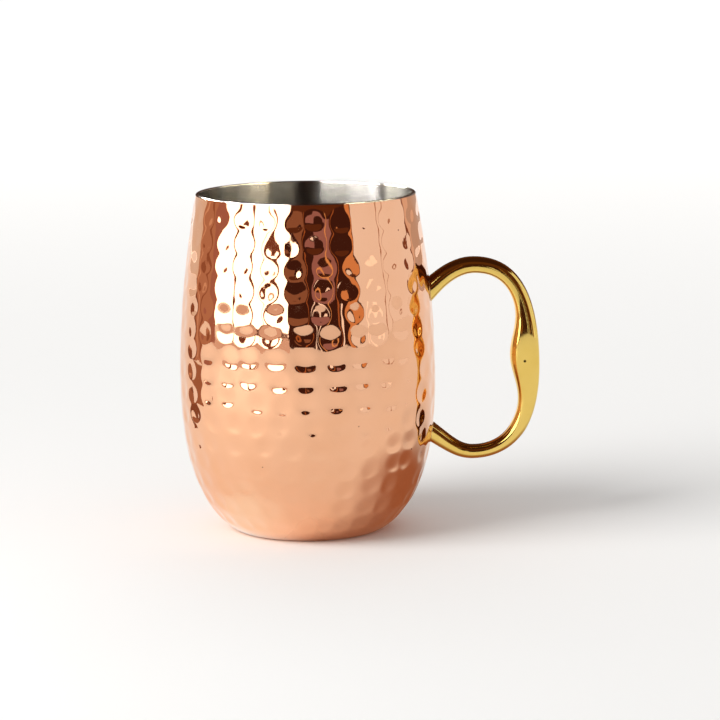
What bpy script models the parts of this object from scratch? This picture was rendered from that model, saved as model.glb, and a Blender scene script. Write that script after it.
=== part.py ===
"""Copper mug: a hammered copper shell over a stainless steel liner, with a cast brass handle brazed to it.

Metres, +Z up. The origin is on the table under the middle of the mug, and the handle points along +X.
"""

import math

import bmesh
import bpy
import numpy as np
from mathutils import Matrix

# Body, measured on the outside of the shell
MUG_HEIGHT = 0.1194
RIM_RADIUS = 0.0385
RIM_LEAN = -0.167  # change of radius for each metre of height at the rim
BELLY_RADIUS = 0.0450
BELLY_HEIGHT = 0.0554
BASE_RADIUS = 0.0255  # the flat that the mug stands on
BASE_DIP = 0.0016  # how far below the table the curve of the wall would end
LOWER_FULLNESS = 2.35  # exponent of the curve from belly to base: 2 is an ellipse

# Sheet metal and the seats between the pieces
SHELL_WALL = 0.0005
LINER_WALL = 0.0005
LIP_HEIGHT = 0.0004
LIP_INSET = 0.0001  # how far the lip's edge stays inside the outside of the shell
SKIN_GAP = 0.0003  # between the shell and the liner at the rim
SEAT_GAP = 0.0003  # between the other pieces that touch

# Hammer marks, in rings down the shell
MARK_COLUMNS = 29
MARK_PHASE = math.radians(3)  # from the handle to a mark of the first ring
MARK_ROW_TURN = math.radians(1)  # how far each ring is turned from the one above
MARK_ROW_PITCH = 0.00775
MARK_FIRST_ROW = 0.0060  # along the wall, from the top of the lip
MARK_RADIUS = 0.0034
MARK_DEPTH = 0.0003
MARK_LEAST_SHARE = 0.7  # the shallowest mark, as a share of the deepest
MARK_SEED = 7

# Handle centreline: the knots' places, with stand-offs measured from the belly
UPPER_ROOT_HEIGHT = 0.0850
UPPER_ROOT_ANGLE = math.radians(45)
CROWN_STANDOFF = 0.0138
CROWN_HEIGHT = 0.0932
GRIP_STANDOFF = 0.0343
GRIP_HEIGHT = 0.0570
BEND_STANDOFF = 0.0132
BEND_HEIGHT = 0.0263
LOWER_ROOT_HEIGHT = 0.0335
LOWER_ROOT_ANGLE = math.radians(-35)

# Handle centreline: how far the curve holds its direction beside each knot
UPPER_ROOT_PULL = 0.0060
CROWN_PULL_IN = 0.0060
CROWN_PULL_OUT = 0.0116
GRIP_PULL = 0.0282
BEND_PULL_OUT = 0.0065
BEND_PULL_IN = 0.0030
LOWER_ROOT_PULL = 0.0100

# Handle sections: thickness lies in the plane of the handle, width across it
ARM_THICKNESS = 0.0054
BEND_THICKNESS = 0.00435
THINNING_HEIGHT = 0.0090  # above the bend, to where the arm is as thick as elsewhere
ARM_WIDTH = 0.0066
ROOT_THICKENING = 0.0012  # what both arms gain where they meet the shell
ROOT_WIDENING = 0.0014
ROOT_TAPER = 0.0155  # along the arm
SWELL_DEPTH = 0.0050  # what the grip gains on the fingers' side
SWELL_WIDTH = 0.0045  # what the grip gains across
SWELL_HEIGHT = 0.0608
SWELL_LENGTH = 0.0133  # up or down from there, to where the swelling is about a third

# Handle sections: the widest place lies off the centreline, towards the fingers
UPPER_LEAN = 0.0010
LOWER_LEAN = -0.00035
GRIP_LEAN = 0.0047  # what the lean gains at the grip
FACE_HEIGHT = 0.0664  # of the place where the grip is widest across
FACE_SLANT = 1.0  # how much higher that place lies on the outer side

# Exponents of the sections' outlines: 2 is an ellipse
ARM_FULLNESS = 2.8
GRIP_FULLNESS = 4.6
FINGER_FULLNESS = 1.9

# Braze fillets
BRAZE_SIZE = 0.0006
FILLET_MIDDLE = 1 - math.sqrt(0.5)  # the middle of a hollow quarter circle, from its corner

# Fineness of the meshes
PROFILE_STEPS = 400
LINER_SEGMENTS = 48
LINER_STATIONS = 14
LIP_STEPS = 6
SECTION_STEPS = 16
HANDLE_STATIONS = 40
PATH_STEPS = 120
HALVINGS = 50  # of the search for the place where the handle meets the wall
WELD = 1e-6
SMOOTH_ANGLE = math.radians(40)


def clear_scene():
    for obj in list(bpy.data.objects):
        bpy.data.objects.remove(obj, do_unlink=True)


def metal(name, colour, roughness):
    """A bare metal of one colour, in linear RGB."""
    material = bpy.data.materials.new(name)
    material.use_nodes = True
    shader = material.node_tree.nodes["Principled BSDF"]
    shader.inputs["Base Color"].default_value = (*colour, 1.0)
    shader.inputs["Metallic"].default_value = 1.0
    shader.inputs["Roughness"].default_value = roughness
    return material


def add_part(name, bm, material, collection):
    """Turns a bmesh into a named, smooth-shaded part."""
    mesh = bpy.data.meshes.new(name)
    bm.to_mesh(mesh)
    bm.free()
    mesh.materials.append(material)
    mesh.shade_smooth()
    mesh.set_sharp_from_angle(angle=SMOOTH_ANGLE)
    part = bpy.data.objects.new(name, mesh)
    collection.objects.link(part)
    return part


class Body:
    """The outside of the shell as a profile: radius and height against the way down from the lip."""

    def __init__(self):
        rise = MUG_HEIGHT - BELLY_HEIGHT
        flare = RIM_RADIUS - BELLY_RADIUS
        cubic = RIM_LEAN * rise - 2 * flare
        up = np.linspace(1, 0, PROFILE_STEPS, endpoint=False)
        drop = np.linspace(0, BELLY_HEIGHT / (BELLY_HEIGHT + BASE_DIP), PROFILE_STEPS)
        bulge = (1 - drop**LOWER_FULLNESS) ** (1 / LOWER_FULLNESS)
        bulge = (bulge - bulge[-1]) / (1 - bulge[-1])
        upper_radius = BELLY_RADIUS + (flare - cubic) * up**2 + cubic * up**3
        lower_radius = BASE_RADIUS + (BELLY_RADIUS - BASE_RADIUS) * bulge
        self.radius = np.concatenate([upper_radius, lower_radius])
        upper_height = BELLY_HEIGHT + rise * up
        lower_height = BELLY_HEIGHT - (BELLY_HEIGHT + BASE_DIP) * drop
        self.height = np.concatenate([upper_height, lower_height])
        steps = np.hypot(np.diff(self.radius), np.diff(self.height))
        self.way = np.concatenate([[0.0], np.cumsum(steps)])
        self.length = self.way[-1]

    def radius_at(self, height):
        return np.interp(height, self.height[::-1], self.radius[::-1])

    def way_at(self, height):
        return np.interp(height, self.height[::-1], self.way[::-1])

    def skin(self, way, depth):
        """A point of the wall, as radius and height, sunk into it along its normal."""
        nudge = self.length / PROFILE_STEPS
        ends = (max(way - nudge, 0.0), min(way + nudge, self.length))
        radius_step = np.subtract(*np.interp(ends, self.way, self.radius))
        height_step = np.subtract(*np.interp(ends, self.way, self.height))
        slope = math.hypot(radius_step, height_step)
        radius = np.interp(way, self.way, self.radius) - depth * height_step / slope
        height = np.interp(way, self.way, self.height) + depth * radius_step / slope
        return radius, height

    def gap_to(self, point):
        """How far a point stands off the wall, measured level."""
        x, y, z = point
        return math.hypot(x, y) - self.radius_at(z)


class HammerMarks:
    """Rings of round marks pressed into the shell, each of its own depth."""

    def __init__(self, body):
        room = body.length - MARK_FIRST_ROW - MARK_ROW_PITCH / 2
        self.body = body
        self.rows = 1 + int(room / MARK_ROW_PITCH)
        draw = np.random.default_rng(MARK_SEED)
        self.share = draw.uniform(MARK_LEAST_SHARE, 1.0, (self.rows, MARK_COLUMNS))

    def stations(self, start):
        """Ways down the wall from the shell's edge: the middle of each row, and halfway between rows."""
        first = MARK_FIRST_ROW - MARK_ROW_PITCH / 2
        halves = first + MARK_ROW_PITCH / 2 * np.arange(2 * self.rows + 1)
        return [start, *halves, self.body.length]

    def turn(self, way):
        """How far round the marks at this way down the wall are turned from the handle."""
        return MARK_PHASE + MARK_ROW_TURN * (way - MARK_FIRST_ROW) / MARK_ROW_PITCH

    def depth(self, point):
        """How deep the shell is pressed in at a point of its outside."""
        x, y, z = point
        way = self.body.way_at(z)
        row = round((way - MARK_FIRST_ROW) / MARK_ROW_PITCH)
        if not 0 <= row < self.rows:
            return 0.0
        column_step = 2 * math.pi / MARK_COLUMNS
        angle = (math.atan2(y, x) - self.turn(way)) % (2 * math.pi)
        column = round(angle / column_step)
        along = way - MARK_FIRST_ROW - row * MARK_ROW_PITCH
        across = (angle - column * column_step) * math.hypot(x, y)
        bowl = 1 - (along**2 + across**2) / MARK_RADIUS**2
        return MARK_DEPTH * self.share[row, column % MARK_COLUMNS] * max(0.0, bowl)


def copper_shell(body, collection):
    """A spun cup of sheet copper, hammered from the outside, open at the top under the liner's lip."""
    marks = HammerMarks(body)
    edge = body.way_at(MUG_HEIGHT - LIP_HEIGHT - SEAT_GAP)
    outline = [body.skin(way, 0.0) for way in marks.stations(edge)]
    outline.append((0.0, 0.0))
    bm = bmesh.new()
    line = [bm.verts.new((radius, 0.0, height)) for radius, height in outline]
    for above, below in zip(line, line[1:]):
        bm.edges.new((above, below))
    bmesh.ops.spin(
        bm,
        geom=bm.verts[:] + bm.edges[:],
        axis=(0, 0, 1),
        cent=(0, 0, 0),
        angle=2 * math.pi,
        steps=2 * MARK_COLUMNS,
        use_merge=True,
    )
    bmesh.ops.remove_doubles(bm, verts=bm.verts, dist=WELD)
    bmesh.ops.recalc_face_normals(bm, faces=bm.faces)
    for vert in bm.verts:
        vert.co = Matrix.Rotation(marks.turn(body.way_at(vert.co.z)), 3, "Z") @ vert.co
    bm.normal_update()
    pressed = [vert.co - vert.normal * marks.depth(vert.co) for vert in bm.verts]
    for vert, place in zip(bm.verts, pressed):
        vert.co = place
    shell = add_part("copper_shell", bm, metal("polished copper", (0.84, 0.47, 0.33), 0.08), collection)
    wall = shell.modifiers.new("sheet", "SOLIDIFY")
    wall.thickness = SHELL_WALL
    wall.offset = -1.0
    return shell


def liner_depth(way):
    """How deep the liner's outside lies behind the shell's: close at the rim, clear of the marks below."""
    share = min(way / MARK_FIRST_ROW, 1.0)
    return SHELL_WALL + SKIN_GAP + MARK_DEPTH * share


def liner_outline(body):
    """The liner's section from the middle of its floor, up the inside, over the lip and down the outside."""
    lip_base = MUG_HEIGHT - LIP_HEIGHT
    ways = np.linspace(body.way_at(lip_base - SEAT_GAP), body.length, LINER_STATIONS)
    outside = [body.skin(way, liner_depth(way)) for way in ways]
    inside = [body.skin(way, liner_depth(way) + LINER_WALL) for way in ways]
    lip_inner = inside[0][0]
    lip_outer = RIM_RADIUS - LIP_INSET
    middle = (lip_inner + lip_outer) / 2
    half = (lip_outer - lip_inner) / 2
    turns = np.linspace(math.pi, 0, LIP_STEPS + 1)
    lip = [(middle + half * math.cos(turn), lip_base + LIP_HEIGHT * math.sin(turn)) for turn in turns]
    under_lip = (outside[0][0], lip_base)
    floor_top = (0.0, inside[-1][1])
    floor_under = (0.0, outside[-1][1])
    return [floor_top, *reversed(inside), *lip, under_lip, *outside, floor_under]


def steel_liner(body, collection):
    """The smooth drinking cup, whose edge is turned out over the shell's."""
    bm = bmesh.new()
    line = [bm.verts.new((radius, 0.0, height)) for radius, height in liner_outline(body)]
    for one, other in zip(line, line[1:]):
        bm.edges.new((one, other))
    liner = add_part("steel_liner", bm, metal("brushed steel", (0.62, 0.60, 0.57), 0.25), collection)
    turned = liner.modifiers.new("turned", "SCREW")
    turned.steps = LINER_SEGMENTS
    turned.render_steps = LINER_SEGMENTS
    turned.use_merge_vertices = True
    turned.merge_threshold = WELD
    return liner


def bezier(start, start_pull, end_pull, end):
    """Points of a cubic curve between two knots, without the last."""
    t = np.linspace(0, 1, PATH_STEPS, endpoint=False)[:, None]
    knots = np.array([start, start_pull, end_pull, end])
    shares = np.hstack([(1 - t) ** 3, 3 * (1 - t) ** 2 * t, 3 * (1 - t) * t**2, t**3])
    return shares @ knots


def heading(angle):
    return np.array([math.cos(angle), math.sin(angle)])


class Handle:
    """The brass handle as a surface: a swelling oval section carried along a curve in the plane y = 0."""

    def __init__(self, body):
        upper = np.array([body.radius_at(UPPER_ROOT_HEIGHT), UPPER_ROOT_HEIGHT])
        crown = np.array([BELLY_RADIUS + CROWN_STANDOFF, CROWN_HEIGHT])
        grip = np.array([BELLY_RADIUS + GRIP_STANDOFF, GRIP_HEIGHT])
        bend = np.array([BELLY_RADIUS + BEND_STANDOFF, BEND_HEIGHT])
        lower = np.array([body.radius_at(LOWER_ROOT_HEIGHT), LOWER_ROOT_HEIGHT])
        upper_way = heading(UPPER_ROOT_ANGLE)
        lower_way = heading(LOWER_ROOT_ANGLE)
        level = heading(0.0)
        plumb = heading(math.pi / 2)
        overrun = BELLY_RADIUS / 2
        points = np.vstack([
            upper - overrun * upper_way,
            bezier(upper, upper + UPPER_ROOT_PULL * upper_way, crown - CROWN_PULL_IN * level, crown),
            bezier(crown, crown + CROWN_PULL_OUT * level, grip + GRIP_PULL * plumb, grip),
            bezier(grip, grip - GRIP_PULL * plumb, bend + BEND_PULL_OUT * level, bend),
            bezier(bend, bend - BEND_PULL_IN * level, lower + LOWER_ROOT_PULL * lower_way, lower),
            lower,
            lower - overrun * lower_way,
        ])
        steps = np.linalg.norm(np.diff(points, axis=0), axis=1)
        self.body = body
        self.points = points
        self.way = np.concatenate([[0.0], np.cumsum(steps)]) - overrun
        self.length = self.way[-1] - overrun

    def centre(self, way):
        return np.array([np.interp(way, self.way, column) for column in self.points.T])

    def swell(self, height, middle):
        """Share of the grip's swelling at a height, where its middle is at another."""
        return math.exp(-(((height - middle) / SWELL_LENGTH) ** 2))

    def sizes(self, way, height):
        """Thickness and width of the arm without the grip, and the lean of its widest place to the fingers."""
        root = math.exp(-max(0.0, min(way, self.length - way)) / ROOT_TAPER)
        share = min(max((height - LOWER_ROOT_HEIGHT) / (UPPER_ROOT_HEIGHT - LOWER_ROOT_HEIGHT), 0.0), 1.0)
        thinning = 1 - min(max((height - BEND_HEIGHT) / THINNING_HEIGHT, 0.0), 1.0)
        thickness = ARM_THICKNESS + (BEND_THICKNESS - ARM_THICKNESS) * thinning + ROOT_THICKENING * root
        width = ARM_WIDTH + ROOT_WIDENING * root
        lean = LOWER_LEAN + (UPPER_LEAN - LOWER_LEAN) * share
        return thickness, width, lean

    def point(self, way, angle, grow=0.0, size=1.0):
        """A point of the surface: angle 0 is the outer side, and grow moves it off the surface."""
        nudge = self.length / HANDLE_STATIONS / 4
        centre = self.centre(way)
        along = self.centre(way + nudge) - self.centre(way - nudge)
        outward = np.array([-along[1], along[0]]) / np.linalg.norm(along)
        cosine, sine = math.cos(angle), math.sin(angle)
        thickness, width, lean = self.sizes(way, centre[1])
        swell = self.swell(centre[1], SWELL_HEIGHT)
        lean += GRIP_LEAN * swell
        if cosine > 0:
            reach, grip_fullness = thickness / 2 + lean, GRIP_FULLNESS
        else:
            reach, grip_fullness = thickness / 2 + SWELL_DEPTH * swell - lean, FINGER_FULLNESS
        power = 2 / (ARM_FULLNESS + (grip_fullness - ARM_FULLNESS) * swell)
        in_plane = size * (reach * math.copysign(abs(cosine) ** power, cosine) - lean)
        width += SWELL_WIDTH * self.swell(centre[1], FACE_HEIGHT + FACE_SLANT * swell * in_plane)
        across = size * width / 2 * math.copysign(abs(sine) ** power, sine)
        x, z = centre + (in_plane + grow * cosine) * outward
        return x, across + grow * sine, z

    def way_off_wall(self, root, angle, gap, grow=0.0, size=1.0):
        """How far along from a root (0 the upper, 1 the lower) the surface stands this far off the wall."""
        inside, outside = self.way[0], self.length / 4
        for _ in range(HALVINGS):
            middle = (inside + outside) / 2
            way = self.length - middle if root else middle
            if self.body.gap_to(self.point(way, angle, grow, size)) < gap:
                inside = middle
            else:
                outside = middle
        return outside

    def foot(self, root, angle, gap, grow=0.0, size=1.0):
        """The point of the surface at this gap from the wall, beside a root."""
        way = self.way_off_wall(root, angle, gap, grow, size)
        return self.point(self.length - way if root else way, angle, grow, size)


SECTION_ANGLES = [2 * math.pi * step / SECTION_STEPS for step in range(SECTION_STEPS)]


def add_ring(bm, points):
    """A closed loop of edges through the points."""
    verts = [bm.verts.new(point) for point in points]
    return [bm.edges.new((one, other)) for one, other in zip(verts, verts[1:] + verts[:1])]


def bridge(bm, rings):
    for one, other in zip(rings, rings[1:]):
        bmesh.ops.bridge_loops(bm, edges=one + other)


def cap(bm, ring, middle):
    """Closes a ring with a fan of triangles about a point."""
    face = bmesh.ops.contextual_create(bm, geom=ring)["faces"][0]
    bmesh.ops.poke(bm, faces=[face])["verts"][0].co = middle


def brass_handle(handle, collection):
    """The cast handle, whose two ends are shaped to the wall of the shell."""
    ends = []
    starts = []
    for root in (0, 1):
        ends.append([handle.foot(root, angle, SEAT_GAP) for angle in SECTION_ANGLES])
        starts.append(max(handle.way_off_wall(root, angle, SEAT_GAP) for angle in SECTION_ANGLES))
    step = handle.length / HANDLE_STATIONS
    ways = np.linspace(starts[0] + step, handle.length - starts[1] - step, HANDLE_STATIONS)
    sections = [[handle.point(way, angle) for angle in SECTION_ANGLES] for way in ways]
    bm = bmesh.new()
    rings = [add_ring(bm, points) for points in [ends[0], *sections, ends[1]]]
    bridge(bm, rings)
    for root, ring in ((0, rings[0]), (1, rings[-1])):
        cap(bm, ring, handle.foot(root, 0.0, SEAT_GAP, size=0.0))
    bmesh.ops.recalc_face_normals(bm, faces=bm.faces)
    return add_part("brass_handle", bm, metal("polished brass", (0.80, 0.56, 0.20), 0.12), collection)


def braze_fillet(name, handle, root, collection):
    """The hollow fillet of braze metal round one root of the handle, in the corner with the shell."""
    corner = (SEAT_GAP, SEAT_GAP)
    on_handle = (SEAT_GAP + BRAZE_SIZE, SEAT_GAP)
    hollow = (SEAT_GAP + FILLET_MIDDLE * BRAZE_SIZE, SEAT_GAP + FILLET_MIDDLE * BRAZE_SIZE)
    on_shell = (SEAT_GAP, SEAT_GAP + BRAZE_SIZE)
    bm = bmesh.new()
    rings = []
    for gap, grow in (corner, on_handle, hollow, on_shell):
        rings.append(add_ring(bm, [handle.foot(root, angle, gap, grow) for angle in SECTION_ANGLES]))
    bridge(bm, rings + rings[:1])
    bmesh.ops.recalc_face_normals(bm, faces=bm.faces)
    return add_part(name, bm, metal("braze metal", (0.72, 0.48, 0.22), 0.3), collection)


def main():
    clear_scene()
    collection = bpy.data.collections.new("copper_mug")
    bpy.context.scene.collection.children.link(collection)
    body = Body()
    copper_shell(body, collection)
    steel_liner(body, collection)
    handle = Handle(body)
    brass_handle(handle, collection)
    braze_fillet("upper_braze", handle, 0, collection)
    braze_fillet("lower_braze", handle, 1, collection)


main()
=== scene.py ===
"""Looks of a copper mug: its hammered copper shell, steel liner and brass handle, and the stage round it.

Metres and +Z up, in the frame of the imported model. The handle points along +X.
The camera looks along +Y.
"""

import math
from typing import NamedTuple

import bmesh
import bpy
import numpy as np
from bpy.props import FloatProperty, FloatVectorProperty, IntProperty, PointerProperty
from mathutils import Matrix, Vector, noise


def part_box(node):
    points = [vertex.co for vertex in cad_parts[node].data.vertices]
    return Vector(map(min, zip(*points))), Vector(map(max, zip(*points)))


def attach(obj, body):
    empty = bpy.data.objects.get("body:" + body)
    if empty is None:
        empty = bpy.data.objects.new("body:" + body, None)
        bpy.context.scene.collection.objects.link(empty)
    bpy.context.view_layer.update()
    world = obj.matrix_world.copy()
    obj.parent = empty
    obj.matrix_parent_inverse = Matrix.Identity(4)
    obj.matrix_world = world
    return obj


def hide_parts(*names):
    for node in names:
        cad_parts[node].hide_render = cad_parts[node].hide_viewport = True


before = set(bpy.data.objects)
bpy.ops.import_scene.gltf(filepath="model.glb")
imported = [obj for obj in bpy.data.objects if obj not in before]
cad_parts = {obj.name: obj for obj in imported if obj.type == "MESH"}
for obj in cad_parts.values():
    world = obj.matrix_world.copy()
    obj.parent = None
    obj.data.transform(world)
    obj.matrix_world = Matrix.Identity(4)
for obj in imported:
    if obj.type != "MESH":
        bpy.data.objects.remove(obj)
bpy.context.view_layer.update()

bl_info = {
    "name": "Copper mug",
    "version": (1, 0, 0),
    "blender": (4, 5, 0),
    "location": "3D View > Sidebar > Copper mug",
    "description": "Models a hammered copper mug with a steel liner and a brass handle, on a plain stage",
    "category": "Add Mesh",
}

MM = 0.001
BODY = "root"

# Fineness of the meshes
PROFILE_STEPS = 600
SHELL_COLUMNS = 360
SHELL_ROWS = 246
INNER_ROWS = 24
INNER_CROWDING = 1.6  # above 1, the shell's inner rows lie closer together towards the foot
LINER_SEGMENTS = 256
LINER_ROWS = 48
LIP_STEPS = 14
HANDLE_RINGS = 300
SECTION_STEPS = 72
SECTION_ANGLES = [2 * math.pi * step / SECTION_STEPS for step in range(SECTION_STEPS)]
PATH_STEPS = 200
ROOT_SEARCH = 0.25  # share of the handle in which a root is looked for
HALVINGS = 40  # of that stretch
FILLET_STEPS = 8
STAGE_SEGMENTS = 96
CARD_SEGMENTS = 48
WELD = 1e-6
SMOOTH_ANGLE = math.radians(40)


def linear(hex_colour):
    """An sRGB hex colour as linear red, green and blue."""
    channels = [int(hex_colour[place : place + 2], 16) / 255 for place in (1, 3, 5)]
    return [part / 12.92 if part <= 0.04045 else ((part + 0.055) / 1.055) ** 2.4 for part in channels]


def size(name, description, default):
    return FloatProperty(name=name, description=description, default=default, unit="LENGTH", precision=5)


def number(name, description, default, **limits):
    return FloatProperty(name=name, description=description, default=default, **limits)


def degrees(name, description, default):
    return FloatProperty(name=name, description=description, default=math.radians(default), subtype="ANGLE")


def colour(name, description, hex_colour):
    return FloatVectorProperty(
        name=name, description=description, default=linear(hex_colour), subtype="COLOR", min=0.0, max=1.0
    )


# Settings


class MugBody(bpy.types.PropertyGroup):
    """The turned body and its two skins, measured on the outside of the shell."""

    height: size("Height", "From the table to the top of the lip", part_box("steel_liner")[1].z)
    rim_radius: size("Rim radius", "At the top of the lip", 38.5 * MM)
    rim_lean: number("Rim lean", "Change of radius for each metre of height at the rim", -0.167)
    belly_radius: size("Belly radius", "At the widest place", 45.0 * MM)
    belly_height: size("Belly height", "From the table to the widest place", 55.4 * MM)
    base_radius: size("Base radius", "Of the flat that the mug stands on", 25.5 * MM)
    base_dip: size("Base dip", "How far below the table the curve of the wall would end", 1.6 * MM)
    lower_fullness: number("Lower fullness", "Exponent of the curve below the belly; 2 is an ellipse", 2.35)
    shell_wall: size("Shell wall", "Thickness of the copper", 0.5 * MM)
    liner_wall: size("Liner wall", "Thickness of the steel", 0.5 * MM)
    lip_height: size("Lip height", "Of the steel that is turned over the edge of the copper", 0.32 * MM)
    lip_inset: size("Lip inset", "From the outside of the shell to the lip's edge", 0.05 * MM)
    skin_gap: size("Skin gap", "Between the shell and the liner", 0.3 * MM)
    seat_gap: size("Seat gap", "Between the lip and the edge of the shell", 0.12 * MM)


class HammerWork(bpy.types.PropertyGroup):
    """The marks of a round-faced hammer, in rings down the shell."""

    columns: IntProperty(name="Columns", description="Marks in a ring", default=29, min=3)
    phase: degrees("Phase", "From the handle to a mark of the first ring", 3)
    row_turn: degrees("Row turn", "How far each ring is turned from the one above", 1)
    first_row: size("First row", "Along the wall, from the lip to the middle of the first ring", 6.0 * MM)
    row_pitch: size("Row pitch", "Along the wall, from ring to ring", 7.75 * MM)
    half_height: size("Half height", "Of a mark, along the wall", 4.6 * MM)
    half_width: size("Half width", "Of a mark, round the wall", 4.4 * MM)
    depth: size("Depth", "Of an average mark at the belly and below", 0.37 * MM)
    upper_share: number("Upper share", "Depth of the marks above the belly, as a share of that", 0.66)
    sag: number("Sag", "How far below its middle a mark is deepest, in half heights", 0.36, max=0.8)
    wander: size("Wander", "How far a mark strays from its place in the ring", 1.0 * MM)
    seed: IntProperty(name="Seed", description="Of the marks' places and depths", default=7)


class HandleForm(bpy.types.PropertyGroup):
    """The sections of the handle: thickness lies in its plane, width across it."""

    arm_thickness: size("Arm thickness", "Away from the ends, the grip and the bend", 5.4 * MM)
    bend_thickness: size("Bend thickness", "At the lowest place of the handle", 4.35 * MM)
    thinning_height: size("Thinning height", "From the bend up to the arm's full thickness", 9.0 * MM)
    arm_width: size("Arm width", "Away from the ends and the grip", 6.6 * MM)
    root_thickening: size("Root thickening", "What both arms gain where they meet the shell", 1.2 * MM)
    root_widening: size("Root widening", "What both arms gain there across", 1.4 * MM)
    root_taper: size("Root taper", "Along the arm, to where the root's gain is about a third", 15.5 * MM)
    swell_depth: size("Swell depth", "What the grip gains on the fingers' side", 5.0 * MM)
    swell_width: size("Swell width", "What the grip gains across", 3.0 * MM)
    swell_height: size("Swell height", "Of the middle of the grip above the table", 60.8 * MM)
    swell_length: size("Swell length", "Up or down to where the swelling is about a third", 13.3 * MM)
    upper_lean: size("Upper lean", "Of the upper arm's widest place, to the fingers' side", 1.0 * MM)
    lower_lean: size("Lower lean", "The same at the lower arm", -0.35 * MM)
    grip_lean: size("Grip lean", "What that gains at the grip", 4.4 * MM)
    face_height: size("Face height", "Of the place where the grip is widest, above the table", 65.2 * MM)
    face_slant: number("Face slant", "How much higher that place lies on the outer side", 0.6)
    arm_fullness: number("Arm fullness", "Exponent of the arms' sections; 2 is an ellipse", 2.8)
    grip_fullness: number("Grip fullness", "Exponent at the grip, on the outer side", 4.6)
    finger_fullness: number("Finger fullness", "Exponent at the grip, on the fingers' side", 2.0)
    braze_size: size("Braze size", "Leg of the fillet round each root", 0.3 * MM)


class MugFinish(bpy.types.PropertyGroup):
    """The colours of the metals and of the floor."""

    copper: colour("Copper", "Polished copper", "#F6BE99")
    copper_warm: colour("Warm copper", "Copper where the polish is a little thinner", "#F0B48B")
    steel: colour("Steel", "Brushed stainless steel", "#A5A19C")
    brass: colour("Brass", "Polished cast brass", "#EFCE74")
    brass_warm: colour("Warm brass", "Brass in the hollows of the casting", "#E5C160")
    braze: colour("Braze", "Brazing metal", "#D9B27A")
    floor: colour("Floor", "Pale floor", "#F6F5F3")


class MugStage(bpy.types.PropertyGroup):
    """The camera, which stands a metre away and a little above the mug."""

    distance: size("Distance", "From the camera to the middle of the mug", 1.0)
    elevation: degrees("Elevation", "Of the camera above the mug", 9.571)
    roll: degrees("Roll", "How far the picture leans to the left", 0.527)
    aim_side: size("Aim aside", "From the axis of the cup to what the camera points at", 18.52 * MM)
    aim_height: size("Aim height", "From the table to what the camera points at", 59.48 * MM)
    lens: number("Lens", "Focal length in millimetres", 141.26)


class MugSettings(bpy.types.PropertyGroup):
    """All settings of the mug."""

    body: PointerProperty(type=MugBody)
    hammer: PointerProperty(type=HammerWork)
    handle: PointerProperty(type=HandleForm)
    finish: PointerProperty(type=MugFinish)
    stage: PointerProperty(type=MugStage)


# Form of the body


class Wall:
    """The outside of the shell as a profile: radius and height against the way down from the lip."""

    def __init__(self, body):
        rise = body.height - body.belly_height
        flare = body.rim_radius - body.belly_radius
        cubic = body.rim_lean * rise - 2 * flare
        up = np.linspace(1, 0, PROFILE_STEPS, endpoint=False)
        drop = np.linspace(0, body.belly_height / (body.belly_height + body.base_dip), PROFILE_STEPS)
        bulge = (1 - drop**body.lower_fullness) ** (1 / body.lower_fullness)
        bulge = (bulge - bulge[-1]) / (1 - bulge[-1])
        upper_radius = body.belly_radius + (flare - cubic) * up**2 + cubic * up**3
        lower_radius = body.base_radius + (body.belly_radius - body.base_radius) * bulge
        self.radius = np.concatenate([upper_radius, lower_radius])
        lower_height = body.belly_height - (body.belly_height + body.base_dip) * drop
        self.height = np.concatenate([body.belly_height + rise * up, lower_height])
        radius_steps, height_steps = np.gradient(self.radius), np.gradient(self.height)
        lengths = np.hypot(radius_steps, height_steps)
        self.out_radius = -height_steps / lengths
        self.out_height = radius_steps / lengths
        way = np.cumsum(np.hypot(np.diff(self.radius), np.diff(self.height)))
        self.way = np.concatenate([[0.0], way])
        self.length = self.way[-1]

    def radius_at(self, height):
        return np.interp(height, self.height[::-1], self.radius[::-1])

    def way_at(self, height):
        return np.interp(height, self.height[::-1], self.way[::-1])

    def normal(self, way):
        """Outward direction of the wall, as a radius step and a height step."""
        return np.interp(way, self.way, self.out_radius), np.interp(way, self.way, self.out_height)

    def skin(self, way, depth=0.0):
        """A point of the wall, as radius and height, sunk into it along its normal."""
        out_radius, out_height = self.normal(way)
        radius = np.interp(way, self.way, self.radius) - depth * out_radius
        height = np.interp(way, self.way, self.height) - depth * out_height
        return radius, height


# Hammer marks: the ways down the wall between which they deepen, and the spread of sizes, as shares

MARK_DEEPENING = (50 * MM, 62 * MM)
MARK_HEIGHTS = (0.9, 1.1)
MARK_WIDTHS = (0.92, 1.15)
MARK_DEPTHS = (0.78, 1.2)
MARK_SAGS = (0.75, 1.2)
MARK_LEAN = 0.25  # how far a mark is usually turned in the wall, in radians
WANDER_ALONG = 0.5  # straying along the wall, as a share of straying round it
MARK_REACH = 1.5  # half heights along the wall, past which a mark leaves no trace


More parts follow.
